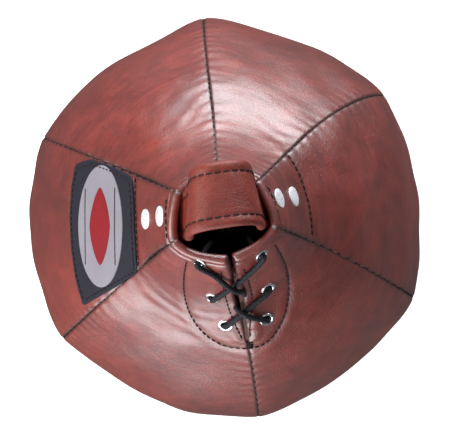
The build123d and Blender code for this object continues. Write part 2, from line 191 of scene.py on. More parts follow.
def gore_point(k, across, s, lift):
    """Point and normal on gore k; across runs from 0 at one seam to 1 at the next."""
    low, high = gore_sides(k, s)
    phi = np.radians(low + (high - low) * across)
    turn = (across - 0.5) * math.pi / 3
    r = at_arc(MR, s)
    rho = panel_radius(turn, r)
    draw = 0.5 - 0.5 * np.cos(math.pi * across)
    pull = (1 - draw) * CORNER_PULL[(k - 1) % 6] + draw * CORNER_PULL[k]
    rho = rho * (1 + (pull - 1) * np.exp(-((LENGTH - np.minimum(s, LENGTH)) / 26.0) ** 2))
    lean = np.arctan2(rho * np.sin(turn), rho * np.cos(turn) + PANEL_AXIS)
    azimuth = phi - turn + lean
    nr, nz = at_arc(NR, s), at_arc(NZ, s)
    normal = np.stack([nr * np.cos(azimuth), nr * np.sin(azimuth), nz + 0 * azimuth], -1)
    base = np.stack([rho * np.cos(phi), rho * np.sin(phi), at_arc(MZ, s) + 0 * phi], -1)
    edge = np.minimum(across, 1 - across) * rho * np.radians(high - low)
    stand = relief(base, s, edge, k)
    return base + normal * (stand + lift)[..., None], normal


def on_leather(x, y, lift=0.0):
    """Points and normals on the outside of the leather under plan positions x, y."""
    x, y = np.atleast_1d(np.asarray(x, float)), np.atleast_1d(np.asarray(y, float))
    lift = np.zeros(len(x)) + lift
    azimuth = np.degrees(np.arctan2(y, x))
    rho = np.hypot(x, y)
    s = arc_of_radius(np.minimum(rho, EQUATOR_R))
    point, normal = np.zeros((len(x), 3)), np.zeros((len(x), 3))
    for _ in range(7):
        for k in range(6):
            low, high = gore_sides(k, s)
            across = ((azimuth - low) % 360) / (high - low)
            mine = across <= 1
            if not mine.any():
                continue
            point[mine], normal[mine] = gore_point(k, across[mine], s[mine], np.zeros(mine.sum()))
        short = np.hypot(point[:, 0], point[:, 1]) - rho
        s = np.clip(s + short * 0.8 / np.maximum(np.abs(at_arc(NZ, s)), 0.35), S_EQUATOR, LENGTH + 4)
    return point + normal * lift[:, None], normal


# ---------------------------------------------------------------- mesh helpers
def mesh_object(name, points, faces, material, smooth=True):
    mesh = bpy.data.meshes.new(name)
    mesh.from_pydata([tuple(p) for p in np.asarray(points) * MM], [], faces)
    mesh.polygons.foreach_set("use_smooth", [smooth] * len(mesh.polygons))
    mesh.materials.append(material)
    mesh.update()
    piece = bpy.data.objects.new(name, mesh)
    bpy.context.scene.collection.objects.link(piece)
    return piece


def grid_faces(rows, cols, wrap_cols=False, wrap_rows=False, start=0):
    faces = []
    for i in range(rows if wrap_rows else rows - 1):
        for j in range(cols if wrap_cols else cols - 1):
            a, b = start + i * cols + j, start + i * cols + (j + 1) % cols
            c = start + (i + 1) % rows * cols + (j + 1) % cols
            d = start + (i + 1) % rows * cols + j
            faces.append((a, b, c, d))
    return faces


def fan(rim, tip, count, outward=False):
    """Triangles from a ring of points to its tip."""
    pairs = [(rim + j, rim + (j + 1) % count) for j in range(count)]
    return [(tip, a, b) if outward else (tip, b, a) for a, b in pairs]


def end_faces(rows, count, start=0):
    """Flat ends of a closed run of rings."""
    last = start + (rows - 1) * count
    return [tuple(range(start, start + count))[::-1], tuple(range(last, last + count))]


def add_attribute(piece, name, values):
    layer = piece.data.attributes.new(name, "FLOAT", "POINT")
    layer.data.foreach_set("value", np.asarray(values, np.float32).ravel())


def own(piece, body, slot, *nodes):
    """Gives a piece its body and hides the CAD nodes it stands for; slot is not used."""
    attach(piece, body)
    if nodes:
        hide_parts(*nodes)
    return piece


def smooth_path(points, step):
    """Evenly spaced points on a smooth curve through given points."""
    points = np.asarray(points, float)
    chord = np.concatenate([[0], np.cumsum(np.sqrt(np.linalg.norm(np.diff(points, axis=0), axis=1)))])
    fine = np.linspace(0, chord[-1], 60 * len(points))
    dense = np.stack([natural_spline(chord, points[:, i], fine) for i in range(points.shape[1])], -1)
    arc = along_path(dense)
    count = max(4, int(round(arc[-1] / step)))
    where = np.linspace(0, arc[-1], count + 1)
    return np.stack([np.interp(where, arc, dense[:, i]) for i in range(points.shape[1])], -1)


def tube_rings(path, radius_at, sides):
    """Rings of points round a path; radius_at(along, angle) gives the section."""
    tangent = np.gradient(path, axis=0)
    tangent /= np.linalg.norm(tangent, axis=1)[:, None]
    arc = along_path(path)
    side = np.cross(tangent[0], [0.3, 0.2, 1.0])
    rings = []
    for centre, way, along in zip(path, tangent, arc):
        side = side - way * (side @ way)
        side /= np.linalg.norm(side)
        up = np.cross(way, side)
        angles = np.arange(sides) * 2 * math.pi / sides
        radius = radius_at(along, angles)
        rings.append(centre + np.outer(np.cos(angles) * radius, side) + np.outer(np.sin(angles) * radius, up))
    return np.array(rings)


def tube(name, path, radius_at, sides, material):
    rings = tube_rings(path, radius_at, sides)
    count = len(rings)
    points = np.vstack([rings.reshape(-1, 3), rings[0].mean(0), rings[-1].mean(0)])
    tip = count * sides
    faces = grid_faces(count, sides, wrap_cols=True)
    faces += fan(0, tip, sides) + fan(tip - sides, tip + 1, sides, True)
    return mesh_object(name, points, faces, material)


def stitch_row(rows, pitch=7.0, gap=1.5, radius=0.5, sink=0.15):
    """Points and faces of one stitch after another; each row is a path of points with normals."""
    points, faces = [], []
    sides = 8
    for path, normal in rows:
        arc = along_path(path)
        count = max(1, int(arc[-1] // pitch))
        real_pitch = arc[-1] / count
        for i in range(count):
            wobble = 0.25 * math.sin(12.9898 * i + len(path))
            t = np.linspace(i * real_pitch + gap / 2 + wobble, (i + 1) * real_pitch - gap / 2 + wobble, 9)
            lifts = radius * 0.75 - (radius * 1.5 + sink) * np.linspace(-1, 1, 9) ** 6
            place = np.stack([np.interp(t, arc, path[:, a]) for a in range(3)], -1)
            out = np.stack([np.interp(t, arc, normal[:, a]) for a in range(3)], -1)
            place = place + out * lifts[:, None]

            def section(along, angles, span=real_pitch - gap):
                end = min(along, span - along) / (radius * 1.4)
                taper = min(1.0, 0.35 + 0.65 * max(0.0, end))
                return radius * taper * (1 + 0.07 * np.cos(2 * angles + 5 * along))

            rings = tube_rings(place, section, sides)
            start = len(points)
            points.extend(rings.reshape(-1, 3))
            faces.extend(grid_faces(len(rings), sides, wrap_cols=True, start=start))
            faces.extend(end_faces(len(rings), sides, start))
    return points, faces


def leather_row(plan, lift=0.0, step=1.0):
    """A stitch path on the leather from plan points."""
    line = smooth_path(plan, step)
    return on_leather(line[:, 0], line[:, 1], lift)


def lathe(name, profile, place, normal, material, sides=40):
    """Turned piece on a seat from (radius, height) pairs: a ring, or solid if they start on the axis."""
    turn = np.array(Vector(normal).to_track_quat("Z", "Y").to_matrix())
    solid = profile[0][0] == 0
    body = profile[1:-1] if solid else profile
    angles = np.arange(sides) * 2 * math.pi / sides
    local = [np.stack([r * np.cos(angles), r * np.sin(angles), h + 0 * angles], -1) for r, h in body]
    faces = grid_faces(len(body), sides, wrap_cols=True, wrap_rows=not solid)
    points = np.vstack(local)
    if solid:
        tip = len(points)
        points = np.vstack([points, [0, 0, profile[0][1]], [0, 0, profile[-1][1]]])
        faces += fan(0, tip, sides) + fan(tip - sides, tip + 1, sides, True)
    return mesh_object(name, points @ turn.T + np.array(place), faces, material)


def cover(name, border, centre, bottom, top, material, rings=16, roundness=0.35):
    """Closed thin piece lying on the leather inside a border seen from above, with a rounded edge."""
    border, centre = np.asarray(border, float), np.asarray(centre, float)
    across = 1 - np.linspace(1, 0, rings) ** 1.6
    size = np.linalg.norm(border - centre, axis=1)
    points = []
    for face, height in (("top", top), ("bottom", bottom)):
        order = across[1:] if face == "top" else across[:0:-1]
        for q in order:
            plan = centre + (border - centre) * q
            inset = (1 - q) * size
            drop = edge_round(inset, roundness) if face == "top" else 0 * inset
            points.append(on_leather(plan[:, 0], plan[:, 1], height - drop)[0])
    count = len(border)
    faces = grid_faces(len(points), count, wrap_cols=True)
    mesh = np.vstack(points)
    middle = np.vstack([on_leather(*centre, top)[0], on_leather(*centre, bottom)[0]])
    tip = len(mesh)
    faces += fan(0, tip, count) + fan(tip - count, tip + 1, count, True)
    return mesh_object(name, np.vstack([mesh, middle]), faces, material)


# ---------------------------------------------------------------- materials
def new_material(name):
    material = bpy.data.materials.new(name)
    material.use_nodes = True
    tree = material.node_tree
    tree.nodes.clear()
    output = tree.nodes.new("ShaderNodeOutputMaterial")
    shader = tree.nodes.new("ShaderNodeBsdfPrincipled")
    tree.links.new(shader.outputs["BSDF"], output.inputs["Surface"])
    return material, tree, shader


def srgb(r, g, b):
    def linear(value):
        value /= 255.0
        return value / 12.92 if value <= 0.04045 else ((value + 0.055) / 1.055) ** 2.4
    return linear(r), linear(g), linear(b), 1.0


def texture(tree, kind, scale, detail=None, vector=None, **settings):
    node = tree.nodes.new(kind)
    node.inputs["Scale"].default_value = scale
    if detail is not None:
        node.inputs["Detail"].default_value = detail
    for name, value in settings.items():
        setattr(node, name, value)
    if vector is not None:
        tree.links.new(vector, node.inputs["Vector"])
    return node


def ramp(tree, value, *stops):
    node = tree.nodes.new("ShaderNodeValToRGB")
    tree.links.new(value, node.inputs["Fac"])
    while len(node.color_ramp.elements) < len(stops):
        node.color_ramp.elements.new(0.5)
    for element, (place, color) in zip(node.color_ramp.elements, stops):
        element.position = place
        element.color = color if not isinstance(color, float) else (color, color, color, 1)
    return node.outputs["Color"]


def put(tree, value, socket):
    """Sets a socket to a plain value, or links another node's output to it."""
    if isinstance(value, (float, int, tuple)):
        socket.default_value = value
    else:
        tree.links.new(value, socket)


def put_all(tree, shader, values):
    """Sets or links a shader's inputs by name."""
    for name, value in values.items():
        put(tree, value, shader.inputs[name])


def mix_color(tree, factor, a, b, blend="MIX"):
    node = tree.nodes.new("ShaderNodeMix")
    node.data_type = "RGBA"
    node.blend_type = blend
    for number, value in ((0, factor), (6, a), (7, b)):
        put(tree, value, node.inputs[number])
    return node.outputs[2]


def math_node(tree, operation, a, b):
    node = tree.nodes.new("ShaderNodeMath")
    node.operation = operation
    for number, value in enumerate((a, b)):
        put(tree, value, node.inputs[number])
    return node.outputs[0]


def bump(tree, height, distance, strength=1.0, normal=None):
    node = tree.nodes.new("ShaderNodeBump")
    node.inputs["Distance"].default_value = distance
    node.inputs["Strength"].default_value = strength
    tree.links.new(height, node.inputs["Height"])
    if normal is not None:
        tree.links.new(normal, node.inputs["Normal"])
    return node.outputs["Normal"]


def coordinates(tree, stretch=(1, 1, 1)):
    place = tree.nodes.new("ShaderNodeTexCoord")
    mapping = tree.nodes.new("ShaderNodeMapping")
    mapping.inputs["Scale"].default_value = stretch
    tree.links.new(place.outputs["Object"], mapping.inputs["Vector"])
    return mapping.outputs["Vector"]


def wrinkle_height(tree):
    """Creases that run round the ball, drawn in the leather's own lay."""
    lay = tree.nodes.new("ShaderNodeAttribute")
    lay.attribute_name = "lay"
    mapping = tree.nodes.new("ShaderNodeMapping")
    mapping.inputs["Scale"].default_value = (0.16, 1.0, 1.0)
    tree.links.new(lay.outputs["Vector"], mapping.inputs["Vector"])
    node = texture(tree, "ShaderNodeTexNoise", 420.0, 3.5, mapping.outputs["Vector"])
    node.inputs["Distortion"].default_value = 0.7
    return node.outputs["Fac"]


def leather_material(name, deep, main, light, roughness, grain=760.0, coat=0.0, edge=True, gloss=0.85):
    """Pigmented full-grain leather: pebbled grain, mottled dye and, where edge is set, painted shade and
    highlight along the wrinkles and painted shade in the seam grooves and inside the neck, with some edge
    wear.
    """
    material, tree, shader = new_material(name)
    where = coordinates(tree)
    drift = texture(tree, "ShaderNodeTexNoise", 190.0, 3.0, where)
    bent = mix_color(tree, 0.004, where, drift.outputs["Color"], "ADD")
    pebble = texture(tree, "ShaderNodeTexVoronoi", grain, None, bent, feature="SMOOTH_F1")
    crackle = texture(tree, "ShaderNodeTexVoronoi", grain * 0.62, None, bent, feature="DISTANCE_TO_EDGE")
    fine = texture(tree, "ShaderNodeTexNoise", 1500.0, 4.0, where)
    crease = texture(tree, "ShaderNodeTexNoise", 95.0, 6.0, where)
    blotch = texture(tree, "ShaderNodeTexNoise", 17.0, 5.0, where)
    valleys = ramp(tree, crackle.outputs["Distance"], (0.0, 0.0), (0.16, 1.0))
    dye = ramp(tree, blotch.outputs["Fac"], (0.3, deep), (0.5, main), (0.72, light))
    mottled = mix_color(tree, 0.35, dye, ramp(tree, crease.outputs["Fac"], (0.35, deep), (0.7, light)))
    dye_grain_and_painted_shade = mix_color(tree, 0.42, mottled, ramp(tree, valleys, (0.0, 0.25), (1.0, 1.0)), "MULTIPLY")
    rough = ramp(tree, fine.outputs["Fac"], (0.3, roughness - 0.07), (0.7, roughness + 0.1))
    if edge:
        # painted shade in the wrinkle troughs and painted highlight on their crests: the colour follows the
        # wrinkle bump's height
        wrinkle_shade_and_highlight = ramp(tree, wrinkle_height(tree), (0.36, 0.74), (0.62, 1.08))
        dye_grain_and_painted_shade = mix_color(tree, 0.8, dye_grain_and_painted_shade, wrinkle_shade_and_highlight, "MULTIPLY")
        # painted shade from the mesh's seam mask: dark in the seam grooves, in the stitch dips and on the
        # inside of the neck, partly edge wear
        groove_shade_and_wear_mask = tree.nodes.new("ShaderNodeAttribute")
        groove_shade_and_wear_mask.attribute_name = "seam"
        near = math_node(tree, "MULTIPLY", groove_shade_and_wear_mask.outputs["Fac"],
                         ramp(tree, crease.outputs["Fac"], (0.3, 0.75), (0.7, 1.0)))
        shade = ramp(tree, near, (0.0, 1.0), (0.55, 0.62), (1.0, 0.16))
        dye_grain_and_painted_shade = mix_color(tree, 1.0, dye_grain_and_painted_shade, shade, "MULTIPLY")
    height = math_node(tree, "ADD", math_node(tree, "MULTIPLY", pebble.outputs["Distance"], -0.55),
                       math_node(tree, "MULTIPLY", valleys, 0.6))
    height = math_node(tree, "ADD", height, math_node(tree, "MULTIPLY", fine.outputs["Fac"], 0.3))
    normal = bump(tree, crease.outputs["Fac"], 0.0009, 0.45)
    if edge:
        normal = bump(tree, wrinkle_height(tree), 0.0004, 0.45, normal)
    put_all(tree, shader, {
        "Base Color": dye_grain_and_painted_shade, "Roughness": rough, "Normal": bump(tree, height, 0.00016, 0.75, normal),
        "Specular IOR Level": gloss, "Coat Weight": coat, "Coat Roughness": 0.36})
    return material


def thread_material(name, color, sheen=0.0):
    material, tree, shader = new_material(name)
    where = coordinates(tree)
    twist = texture(tree, "ShaderNodeTexNoise", 2400.0, 2.0, where)
    tone = mix_color(tree, ramp(tree, twist.outputs["Fac"], (0.35, 0.0), (0.7, 1.0)),
                     tuple(c * 0.5 for c in color[:3]) + (1.0,), color)
    put_all(tree, shader, {
        "Base Color": tone, "Normal": bump(tree, twist.outputs["Fac"], 0.0001, 0.6), "Roughness": 0.7,
        "Specular IOR Level": 0.3, "Sheen Weight": sheen})
    return material


def cloth_material(name, dark, light, pitch, roughness):
    """Woven cloth: crossing threads as fine waves, in three directions so every face has them."""
    material, tree, shader = new_material(name)
    where = coordinates(tree)
    weave = None
    for direction in ("X", "Y", "Z"):
        wave = texture(tree, "ShaderNodeTexWave", 1.0 / (pitch * 3.2), 0.0, where, bands_direction=direction)
        wave.inputs["Distortion"].default_value = 0.6
        part = wave.outputs["Fac"]
        weave = part if weave is None else math_node(tree, "ADD", weave, part)
    weave = math_node(tree, "MULTIPLY", weave, 0.34)
    soil = texture(tree, "ShaderNodeTexNoise", 55.0, 4.0, where)
    tone = mix_color(tree, ramp(tree, weave, (0.3, 0.0), (0.7, 1.0)), dark, light)
    tone = mix_color(tree, 0.25, tone, ramp(tree, soil.outputs["Fac"], (0.3, 0.55), (0.7, 1.0)), "MULTIPLY")
    put_all(tree, shader, {
        "Base Color": tone, "Normal": bump(tree, weave, 0.0002, 0.5), "Roughness": roughness,
        "Specular IOR Level": 0.2})
    return material


def metal_material(name, color, roughness, metallic):
    material, tree, shader = new_material(name)
    where = coordinates(tree)
    wear = texture(tree, "ShaderNodeTexNoise", 420.0, 5.0, where)
    scratch = texture(tree, "ShaderNodeTexNoise", 90.0, 3.0, coordinates(tree, (1, 9, 1)))
    rough = ramp(tree, wear.outputs["Fac"], (0.35, roughness * 0.7), (0.75, roughness * 1.6))
    tone = mix_color(tree, 0.3, color, ramp(tree, scratch.outputs["Fac"], (0.3, 0.6), (0.7, 1.0)), "MULTIPLY")
    put_all(tree, shader, {
        "Base Color": tone, "Roughness": rough, "Normal": bump(tree, wear.outputs["Fac"], 0.00005, 0.4),
        "Metallic": metallic})
    return material


def grain_material(name, dark, light, scale):
    material, tree, shader = new_material(name)
    where = coordinates(tree)
    grains = texture(tree, "ShaderNodeTexVoronoi", scale, None, where)
    clumps = texture(tree, "ShaderNodeTexNoise", scale * 0.1, 5.0, where)
    tone = mix_color(tree, clumps.outputs["Fac"], dark, light)
    put_all(tree, shader, {
        "Base Color": tone, "Normal": bump(tree, grains.outputs["Distance"], 0.0006, 0.8), "Roughness": 0.9})
    return material


GORE_LEATHER = leather_material("gore_leather", srgb(84, 12, 6), srgb(114, 24, 14), srgb(142, 42, 26), 0.4,
                                coat=1.0)
STRAP_LEATHER = leather_material("strap_leather", srgb(84, 20, 12), srgb(112, 32, 20), srgb(132, 46, 30), 0.5,
                                 grain=900.0, edge=False, gloss=0.5)
TONGUE_LEATHER = leather_material("tongue_leather", srgb(120, 66, 60), srgb(160, 98, 90), srgb(182, 124, 112),
                                  0.62, grain=1000.0, edge=False)
LINING_LEATHER = leather_material("lining_leather", srgb(62, 32, 26), srgb(88, 48, 38), srgb(110, 62, 50),
                                  0.7, grain=1000.0, edge=False)
THREAD = thread_material("seam_thread", (0.014, 0.006, 0.007, 1.0))
LACE = thread_material("lace_cotton", (0.006, 0.0075, 0.014, 1.0), 0.02)
CHROME = metal_material("eyelet_metal", (0.78, 0.78, 0.8, 1.0), 0.22, 1.0)
ENAMEL = metal_material("rivet_metal", (0.66, 0.67, 0.70, 1.0), 0.3, 0.25)
BLACK_CLOTH = cloth_material("label_black", (0.006, 0.006, 0.012, 1), (0.02, 0.02, 0.034, 1), 0.0006, 0.7)
WHITE_CLOTH = cloth_material("label_white", srgb(112, 109, 119), srgb(138, 135, 145), 0.0005, 0.6)
RED_CLOTH = cloth_material("label_red", srgb(96, 8, 20), srgb(140, 16, 30), 0.0005, 0.6)
BAG_CLOTH = cloth_material("bag_cloth", (0.004, 0.0035, 0.006, 1), (0.016, 0.014, 0.02, 1), 0.0007, 0.6)
PADDING = grain_material("padding", srgb(150, 140, 128), srgb(190, 182, 170), 260.0)
SAND = grain_material("sand", srgb(150, 126, 92), srgb(196, 172, 132), 900.0)


# ---------------------------------------------------------------- fittings' places, from above
EYELETS = {
    "eyelet_left_1": (-16.6, -23.6),
    "eyelet_left_2": (-12.8, -44.8),
    "eyelet_left_3": (-8.2, -61.6),
    "eyelet_right_1": (18.3, -24.6),
    "eyelet_right_2": (19.3, -44.2),
    "eyelet_right_3": (16.1, -61.8),
}
RIVETS = {
    "rivet_left_upper": (-34.3, 4.8),
    "rivet_left_lower": (-43.2, 4.8),
    "rivet_right_upper": (32.4, 4.6),
    "rivet_right_lower": (40.8, 5.0),
}
EYELET_SEATS = {name: tuple(part[0] for part in on_leather(x, y)) for name, (x, y) in EYELETS.items()}
# lines of stitching that hold the patches inside the leather
PATCH_ROWS = {
    "front": [(-23.4, -22.4), (-26.6, -30), (-28.6, -41), (-27.2, -53), (-21.8, -64.4), (-12, -73.2),
              (1, -77.4), (12.8, -76.2), (22.2, -68.2), (28, -58), (31, -46.5), (31.2, -35),
              (29, -26.5), (26.4, -20.5)],
    "flap_left": [(-5.2, -30.5), (-5.6, -42), (-4.4, -53), (-2.0, -64.5), (0.1, -71.2)],
    "flap_right": [(7.0, -30.5), (8.6, -38), (9.2, -46.5), (7.2, -57), (5.2, -67), (4.7, -71.2)],
    "left_outer": [(-46.6, 30.0), (-48.3, 17), (-49.6, 4.4), (-51, -8.6), (-52.4, -20.4)],
    "left_inner": [(-29.4, 13.6), (-31.0, 5), (-31.8, -3), (-32.2, -8.6)],
    "right_outer": [(41.4, 29.3), (45.6, 20), (48.2, 8), (49.4, -5), (48.6, -18.6)],
    "right_inner": [(26.9, 12.4), (29.0, 6), (30.3, -2), (30.8, -9.0)],
}


# ---------------------------------------------------------------- gores
def edge_round(distance, radius=1.7):
    """How far the leather has rolled down at a distance from its turned edge."""
    inside = np.clip(radius - distance, 0, radius)
    return radius - np.sqrt(np.maximum(radius ** 2 - inside ** 2, 0))


HEM_STITCH = 3.6
ROW_POINTS = np.vstack([leather_row(plan)[0] for plan in PATCH_ROWS.values()])


def stitch_dip(points):
    """How far the leather is drawn down by the stitching of the patches."""
    if not (points[:, 2] > 200).any():
        return np.zeros(len(points))
    gap = np.linalg.norm(points[:, None, :] - ROW_POINTS[None, :, :], axis=2).min(1)
    return 0.55 * np.exp(-(gap / 1.3) ** 2) - 0.22 * np.exp(-((gap - 4.5) / 2.2) ** 2)


def make_gore(k, name):
    """One leather panel: outside, turned hem at the rim, inside of the neck, seams rolled in."""
    spread = np.concatenate([np.linspace(0, LENGTH - 30, 208), np.linspace(LENGTH - 30, LENGTH, 44)[1:]])
    outer_rows = [(s, 0.0) for s in spread]
    rim_rows = [(LENGTH, a) for a in np.linspace(0, math.pi, 11)[1:-1]]
    inner_rows = [(s, math.pi) for s in np.linspace(LENGTH, LENGTH - 92, 46)]
    rows = outer_rows + rim_rows + inner_rows
    edge_steps = np.array([0.12, 0.4, 0.75, 1.15, 1.7, 2.6, 4.0, 6.0])
    middle = 66
    total = 2 * (len(edge_steps) + 1) + middle
    points = np.zeros((len(rows), total, 3))
    seam = np.zeros((len(rows), total))
    lay = np.zeros((len(rows), total, 3))
    for i, (s, roll) in enumerate(rows):
        low, high = (float(side) for side in gore_sides(k, s))
        r = float(at_arc(MR, s))
        width = math.radians(high - low) * panel_radius(0.26, r)
        gap_low = float(slit_half(s)) if (k - 1) % 6 == FRONT else 0.0
        gap_high = float(slit_half(s)) if k == FRONT else 0.0
        shrink = min(1.0, width / 26.0)
        start = gap_low + edge_steps * shrink
        stop = width - gap_high - edge_steps[::-1] * shrink
        inner = np.linspace(start[-1], stop[0], middle + 2)[1:-1]
        place = np.concatenate([start[:1], start, inner, stop, stop[-1:]])
        from_low = place - gap_low
        from_high = width - gap_high - place
        edge = np.minimum(from_low, from_high)
        down = edge_round(edge)
        down[0] = down[-1] = 2.2
        thick = HEM if s > LENGTH - 18 else LEATHER + 1.6
        half = thick / 2
        lift = -half + np.maximum(half - down, 0.02) * math.cos(roll)
        flap = np.exp(-((edge - 4.0) / 5.0) ** 2) * 0.7
        near_slit = np.where(from_low < from_high, gap_low > 0.3, gap_high > 0.3)
        lift = lift + np.where(near_slit, flap, 0.0) * (1 if roll < 1.6 else 0)
        hem_line = 0.9 * math.exp(-((s - LENGTH + HEM_STITCH) / 0.9) ** 2) if roll == 0 else 0.0
        lift = lift - hem_line + 0.5 * np.clip((s - LENGTH + HEM_STITCH) / 1.5, 0, 1) * math.cos(roll / 2)
        across = place / width
        put, normal = gore_point(k, across, np.full(total, s), lift)
        if 0 < roll < math.pi:
            rise = np.maximum(half - down, 0.02) * math.sin(roll)
            put = put + run_up(k, across) * rise[:, None]
        dip = stitch_dip(put) if roll == 0 else np.zeros(total)
        points[i] = put - normal * dip[:, None]
        # seam mask: painted shade where the leather rolls down into the seams and where the stitching draws
        # it down, with some edge wear
        seam[i] = np.maximum(np.clip(1.05 - edge / 2.4, 0, 1), np.maximum(dip * 0.7, hem_line * 0.7))
        lay[i, :, 0] = (place - width / 2) * MM
        lay[i, :, 1] = (s + HEM * roll / 2) * MM
        lay[i, :, 2] = 0.3 * k
        # painted shade on the leather turned inside the neck
        if roll > 1.6:
            seam[i] = np.maximum(seam[i], 0.45)
    faces = grid_faces(len(rows), total)
    faces = cut_eyelet_holes(points.reshape(-1, 3), faces)
    piece = mesh_object(name + "_leather", points.reshape(-1, 3), faces, GORE_LEATHER)
    add_attribute(piece, "seam", seam)
    piece.data.attributes.new("lay", "FLOAT_VECTOR", "POINT").data.foreach_set("vector", lay.ravel())
    return own(piece, "ball", "gore_leather", name)


def run_up(k, across):
    """Direction along the leather at the rim, upwards."""
    s = np.full(len(across), LENGTH)
    low, high = gore_sides(k, s)
    phi = np.radians(low + (high - low) * across)
    slope_r, slope_z = -float(at_arc(NZ, LENGTH)), float(at_arc(NR, LENGTH))
    return np.stack([slope_r * np.cos(phi), slope_r * np.sin(phi), slope_z + 0 * phi], -1)


def cut_eyelet_holes(points, faces):
    corners = np.array(faces)
    centres = points[corners].mean(1)
    keep = np.ones(len(faces), bool)
    for place, normal in EYELET_SEATS.values():
        offset = centres - place
        depth = offset @ normal
        aside = np.linalg.norm(offset - depth[:, None] * normal, axis=1)
        keep &= ~((aside < 2.9) & (np.abs(depth) < 9))
    return [face for face, stays in zip(faces, keep) if stays]


GORES = {0: "gore_right", 1: "gore_back_right", 2: "gore_back_left", 3: "gore_left",
         4: "gore_front_left", 5: "gore_front_right"}
for gore_index, gore_name in GORES.items():
    make_gore(gore_index, gore_name)


# ---------------------------------------------------------------- threads
def seam_line(k):
    stop = SLIT_END_S - 1.0 if k == FRONT else LENGTH - HEM_STITCH - 1.0
    s = np.arange(16.0, stop, 1.2)
    return gore_point(k, np.ones(len(s)), s, np.full(len(s), -0.95))


def hem_line_row(k):
    """The hem's stitching on gore k, just outside the rolled edge."""
    margin = 0.045
    across = np.linspace(margin, 1 - margin, 40)
    return gore_point(k, across, np.full(40, LENGTH - HEM_STITCH), np.full(40, -0.75))


def thread_piece(name, rows, **sizes):
    points, faces = stitch_row(rows, **sizes)
    return own(mesh_object(name, points, faces, THREAD), "ball", None)


thread_piece("thread_seams", [seam_line(k) for k in range(6)], pitch=4.2, gap=1.0, radius=0.46)
thread_piece("thread_hem", [hem_line_row(k) for k in range(6)], pitch=3.8, gap=0.7, radius=0.4)
thread_piece("thread_patches", [leather_row(plan, 0.42 if name.startswith("flap") else -0.42)
                                for name, plan in PATCH_ROWS.items()], pitch=3.7, gap=0.6, radius=0.43)
BARTACK = [((1.0, -74.5), (6.2, -73.8)), ((0.8, -76.0), (6.4, -75.2)), ((1.2, -77.3), (6.0, -76.6)),
           ((1.6, -72.9), (5.6, -77.9)), ((5.8, -72.6), (1.9, -78.1))]
thread_piece("thread_slit_end", [leather_row(ends, 0.25, 0.8) for ends in BARTACK],
             pitch=30, gap=0.2, radius=0.5)


# ---------------------------------------------------------------- eyelets and rivets
EYELET = [(2.3, -3.9), (2.9, -3.9), (2.95, -0.1), (4.45, -0.15), (4.6, 0.15), (4.4, 0.5), (3.9, 0.72),
          (3.3, 0.74), (2.75, 0.55), (2.4, 0.1)]
RIVET = [(0, -9.7), (4.0, -9.7), (4.1, -8.9), (1.7, -8.7), (1.7, -0.2), (5.6, -0.25), (5.8, 0.1),
         (5.65, 0.45), (5.1, 0.72), (4.1, 0.92), (2.6, 1.06), (1.2, 1.12), (0, 1.14)]
for node_name, (point, normal) in EYELET_SEATS.items():
    ring = lathe(node_name + "_ring", EYELET, point + normal * 0.1, normal, CHROME)
    own(ring, "ball", "eyelet_metal", node_name)
for node_name, (x, y) in RIVETS.items():
    (point,), (normal,) = on_leather(x, y)
    own(lathe(node_name + "_cap", RIVET, point, normal, ENAMEL), "ball", "rivet_metal", node_name)


# ---------------------------------------------------------------- lace
# the lace out of the upper right eyelet and, crossing twice, in at the upper left one: where it goes over
# the leather (plan position, height above it), and each eyelet with the heights at which it passes through
LACE_ROUTE = [
    ("eyelet_right_1", -5.5, -1.0, 1.9),
    (13.0, -29.5, 2.2), (6.8, -34.4, 1.7), (0.6, -38.3, 1.6), (-6.0, -41.8, 1.7),
    ("eyelet_left_2", 1.6, -1.5, -4.6),
    (-7.6, -48.0, -5.6), (-2.6, -50.4, -3.4), (-0.6, -51.8, 0.8), (4.0, -54.6, 4.6), (10.4, -59.0, 2.6),
    ("eyelet_right_3", 1.7, -1.5, -4.6),
    (9.5, -63.5, -5.9), (-1.5, -64.0, -5.9),
    ("eyelet_left_3", -4.4, -1.2, 1.7),
    (-3.0, -58.6, 2.0), (3.4, -54.8, 1.6), (11.0, -49.8, 1.9),
    ("eyelet_right_2", 1.7, -1.5, -4.6),
    (14.6, -46.6, -5.6), (8.6, -47.6, -4.4), (5.6, -45.6, -0.2), (4.4, -42.0, 2.2), (1.2, -38.4, 4.7),
    (-5.0, -33.6, 2.9), (-11.0, -28.6, 2.0),
    ("eyelet_left_1", 2.0, -1.0, -5.5),
]
# where its ends hang inside the neck, from the two upper eyelets
LACE_START, LACE_END = np.array([-6.0, 11.0, -17.0]), np.array([8.0, 10.0, -18.0])


def lace_path():
    stops = [EYELET_SEATS["eyelet_right_1"][0] + LACE_START]
    for first, *rest in LACE_ROUTE:
        if first in EYELET_SEATS:
            point, normal = EYELET_SEATS[first]
            stops += [point + normal * lift for lift in rest]
        else:
            stops.append(on_leather(first, *rest)[0][0])
    stops.append(EYELET_SEATS["eyelet_left_1"][0] + LACE_END)
    return smooth_path(stops, 0.45)


def braid(along, angles):
    """Section of a round braided cord: two sets of strands crossing."""
    one = np.sin(5 * angles + 2 * math.pi * along / 4.4)
    two = np.sin(5 * angles - 2 * math.pi * along / 4.4)
    return 1.46 + 0.16 * np.maximum(one, two)


lace = tube("lace_cord", lace_path(), braid, 24, LACE)
own(lace, "ball", "lace_cotton", "lace")


# ---------------------------------------------------------------- strap
STRAP_THICK, STRAP_LEAN = 4.5, math.radians(9.0)
STRAP_STITCH = 5.6              # from the band's edge
STRAP_EDGE = 0.86               # share of the half width that is flat, before the rounded edge


